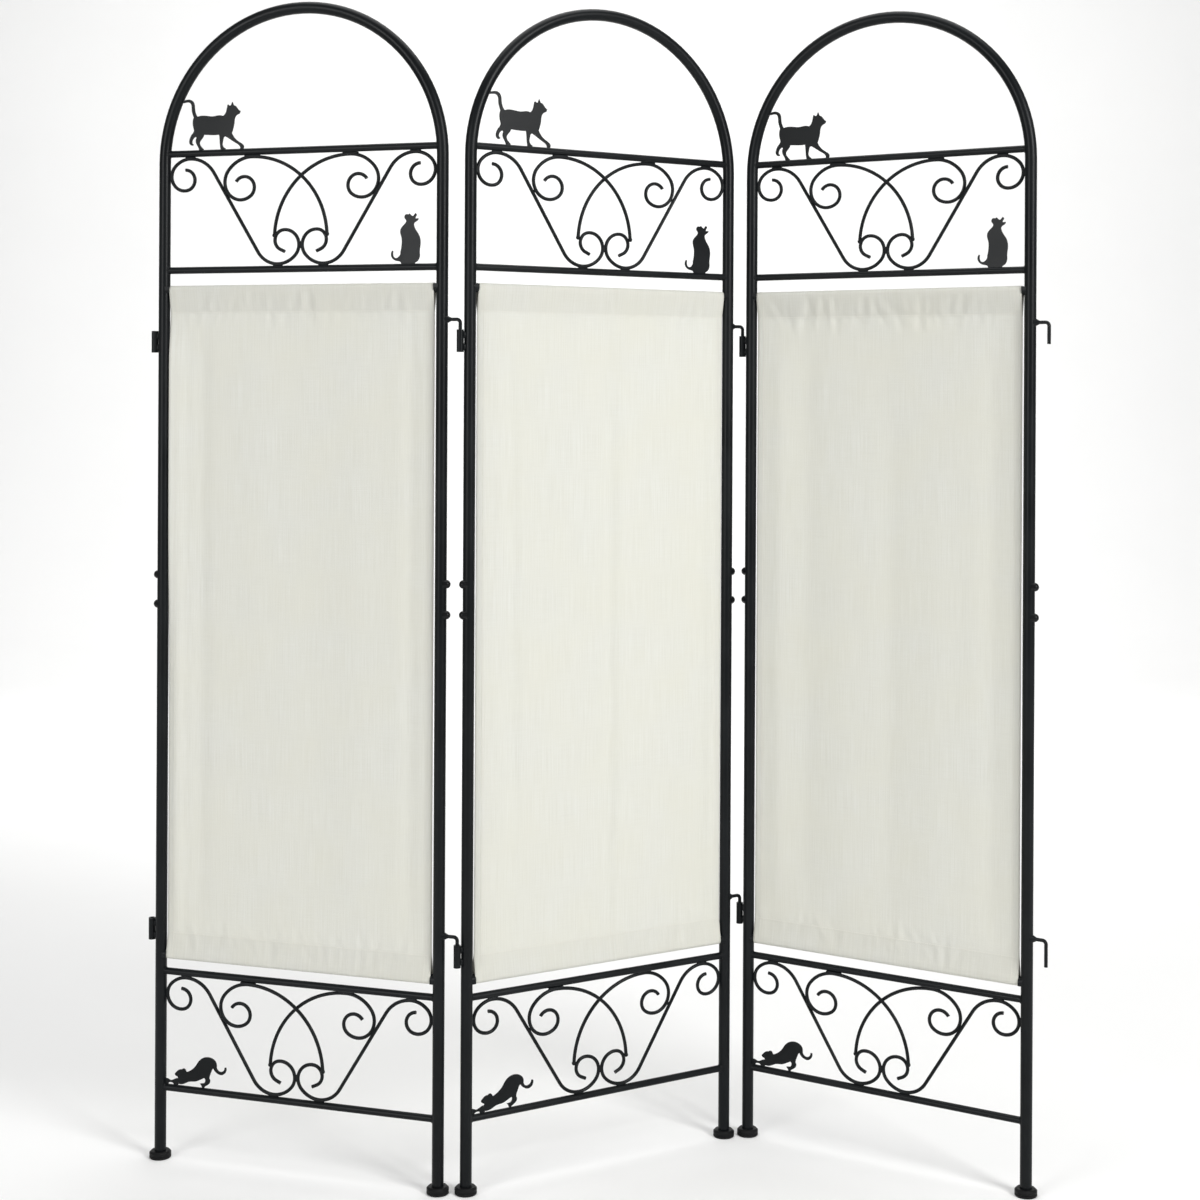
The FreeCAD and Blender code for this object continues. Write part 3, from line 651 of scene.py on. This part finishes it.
def make_cloth(panel, seed):
    """A panel's cloth with both pockets, its side hems and their stitches."""
    name = panel.name
    top_rod, bottom_rod = rod_lines(name)
    us = columns()
    zs, top_seam, bottom_seam = heights(top_rod, bottom_rod)
    seams = (top_seam, bottom_seam)
    sewn, slack = front_sheet(panel, us, zs, seams, seed)
    front = settle(sewn, slack, seams)

    rows, first = cloth_rows(front, seams, top_rod, bottom_rod)
    wide, cut_u, normal = with_hems(rows, us)
    lengths = cut_lengths(rows)
    points = panel.place(wide.reshape(-1, 3))
    faces = grid_faces(len(wide), wide.shape[1])
    piece = new_mesh(name + "_panel_cloth", points, faces, panel, cream_cloth)
    set_cut_map(piece, cut_u, lengths)
    thick = piece.modifiers.new("thickness", "SOLIDIFY")
    thick.thickness = CLOTH_THICK
    thick.offset = 0.0
    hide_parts(name + "_cloth")

    def sewn_line(line, normals, side):
        """Stitches on the front (side -1) or the back (1) of the cloth."""
        place, facing = spaced(line, normals * side, STITCH)
        lift = CLOTH_THICK / 2 if side < 0 else LAYER + CLOTH_THICK / 2
        return stitch_line(place, facing, lift)

    def down(span, u, side):
        line = np.array([across_row(r, us, u) for r in rows[span]])
        facing = np.array([across_row(r, us, u) for r in normal[span]])
        return sewn_line(line, facing, side)

    pocket_seams = [first + seam for seam in seams]
    hem_seams = (us[0] + HEM_STITCH, us[-1] - HEM_STITCH)
    round_rods = slice(first - RING_ROWS, len(rows) - first + RING_ROWS)
    between = slice(pocket_seams[0] + 1, pocket_seams[1])
    parts = [sewn_line(rows[row][1:-1], normal[row][1:-1], -1) for row in pocket_seams]
    parts += [down(round_rods, u, -1) for u in hem_seams]
    parts += [down(between, u, 1) for u in hem_seams]
    verts, quads = joined(parts)
    thread = new_mesh(name + "_stitching", panel.place(verts), quads, panel, cream_thread)


# Weld beads where the rails meet the uprights


def bead_ring(panel, side, z, seed):
    """Fillet bead round a rail's end: a ripple of puddles along the joint line."""
    verts = []
    faces = []
    ring = 44
    section = 8
    inward = np.array([-side, 0.0, 0.0])
    for a in range(ring):
        angle = 2 * math.pi * a / ring
        y = RAIL_R * math.sin(angle)
        up = RAIL_R * math.cos(angle)
        wall = panel.half - math.sqrt(TUBE_R ** 2 - y ** 2)
        ripple = 1 + 0.10 * math.sin(9 * angle + seed) + 0.12 * wavy(angle * 3 * MM, seed, 4 * MM)
        radius = BEAD_R * ripple
        outward = np.array([0.0, math.sin(angle), math.cos(angle)])
        centre = np.array([side * wall, y, z + up]) - inward * BEAD_SUNK - outward * BEAD_SUNK
        for k in range(section):
            turn = 2 * math.pi * k / section
            verts.append(centre + (outward * math.cos(turn) + inward * math.sin(turn)) * radius)
    for a in range(ring):
        b = (a + 1) % ring
        for k in range(section):
            m = (k + 1) % section
            faces.append((a * section + k, a * section + m, b * section + m, b * section + k))
    return verts, faces


def make_beads(panel, seed):
    """A bead at each end of a panel's four rails."""
    parts = []
    for rails in ("upper_rails", "lower_rails"):
        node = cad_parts[panel.name + "_" + rails]
        levels = [v.co.z for v in node.data.vertices]
        for z in (max(levels) - RAIL_R, min(levels) + RAIL_R):
            for side in (-1, 1):
                seed += 1
                parts.append(bead_ring(panel, side, z, seed))
    verts, faces = joined(parts)
    new_mesh(panel.name + "_rail_welds", panel.place(verts), faces, panel, coat)


for number, panel_name in enumerate(PANELS):
    panel = Panel(panel_name)
    make_cloth(panel, 10 * number + 1)
    make_beads(panel, 20 * number + 5)


# Floor, lights and camera

FLOOR_FRONT = -9.0
FLOOR_HALF = 14.0
WALL_Y = 7.0
WALL_TOP = 9.0
BEND_R = 2.5                      # where the floor curves up into the wall
BEND_STEPS = 16
THINS_PAST_X = (3.0, 4.8)         # where the floor starts to thin and where none is left
THINS_PAST_Y = (-1.9, -3.6)


def make_stage():
    """Pale floor that curves up into a backdrop far behind, and thins away at the sides and
    front."""
    line = [(FLOOR_FRONT, 0.0)]
    for k in range(BEND_STEPS + 1):
        angle = math.pi / 2 * k / BEND_STEPS
        line.append((WALL_Y - BEND_R + BEND_R * math.sin(angle), BEND_R * (1 - math.cos(angle))))
    line.append((WALL_Y, WALL_TOP))
    verts = [(x, y, z) for y, z in line for x in (-FLOOR_HALF, FLOOR_HALF)]
    faces = [(2 * i, 2 * i + 1, 2 * i + 3, 2 * i + 2) for i in range(len(line) - 1)]
    mesh = bpy.data.meshes.new("floor")
    mesh.from_pydata(verts, [], faces)
    mesh.polygons.foreach_set("use_smooth", [True] * len(mesh.polygons))
    floor = bpy.data.objects.new("floor", mesh)
    scene.collection.objects.link(floor)

    n = Nodes("floor_paper")
    n.paint(n.mix(n.noise(3.0, detail=3.0), (0.90, 0.90, 0.895), (0.92, 0.92, 0.915)))
    n.shader.inputs["Roughness"].default_value = 0.95
    n.shader.inputs["Specular IOR Level"].default_value = 0.1
    split = n.add("ShaderNodeSeparateXYZ")
    n.link(n.coords.outputs["Object"], split.inputs["Vector"])
    past_side = n.spread(n.math("ABSOLUTE", split.outputs["X"]), *THINS_PAST_X)
    past_front = n.spread(split.outputs["Y"], *THINS_PAST_Y)
    beyond = n.add("ShaderNodeBsdfTransparent")
    thinned = n.math("MAXIMUM", past_side, past_front)
    n.surface(thinned, n.shader.outputs["BSDF"], beyond.outputs["BSDF"])
    mesh.materials.append(n.material)


def area_light(name, place, target, size, power):
    light = bpy.data.lights.new(name, "AREA")
    light.shape = "RECTANGLE"
    light.size, light.size_y = size
    light.energy = power
    lamp = bpy.data.objects.new(name, light)
    lamp.location = place
    lamp.rotation_mode = "QUATERNION"
    lamp.rotation_quaternion = (Vector(target) - Vector(place)).to_track_quat("-Z", "Y")
    scene.collection.objects.link(lamp)


make_stage()
area_light("key", (2.8, -2.9, 2.4), (0.0, 0.0, 0.9), (1.3, 2.0), 124)
area_light("fill", (-2.8, -3.2, 1.6), (0.0, 0.0, 0.8), (1.6, 2.0), 58)
area_light("top", (0.0, 0.4, 4.2), (0.0, 0.0, 0.5), (3.4, 3.4), 92)
area_light("backdrop", (0.0, 2.6, 3.6), (0.0, 6.5, 1.2), (6.0, 1.5), 160)

world = bpy.data.worlds.new("studio")
scene.world = world
world.use_nodes = True
surround = world.node_tree.nodes["Background"]
surround.inputs["Color"].default_value = (1.0, 1.0, 1.0, 1.0)
rays = world.node_tree.nodes.new("ShaderNodeLightPath")
strength = world.node_tree.nodes.new("ShaderNodeMapRange")
strength.inputs["To Min"].default_value = 0.32      # as light on the screen
strength.inputs["To Max"].default_value = 0.90      # as seen past the edge of the floor
world.node_tree.links.new(rays.outputs["Is Camera Ray"], strength.inputs["Value"])
world.node_tree.links.new(strength.outputs["Result"], surround.inputs["Strength"])

FRAME_PX = 1200
FOCAL_PX = 1985.7
EYE_LEVEL_PX = 204.04             # the camera's own height, above the picture's middle
SENSOR = 36.0

camera_data = bpy.data.cameras.new("camera")
camera = bpy.data.objects.new("camera", camera_data)
scene.collection.objects.link(camera)
camera.location = (0.014, -2.757, 1.0645)
camera.rotation_euler = (math.pi / 2, math.radians(-0.29), 0.0)
camera_data.sensor_width = SENSOR
camera_data.lens = SENSOR * FOCAL_PX / FRAME_PX
camera_data.shift_y = -EYE_LEVEL_PX / FRAME_PX
camera_data.clip_start = 0.05
camera_data.clip_end = 60.0
scene.camera = camera
scene.view_settings.view_transform = "Standard"
scene.view_settings.look = "None"

bpy.context.view_layer.update()
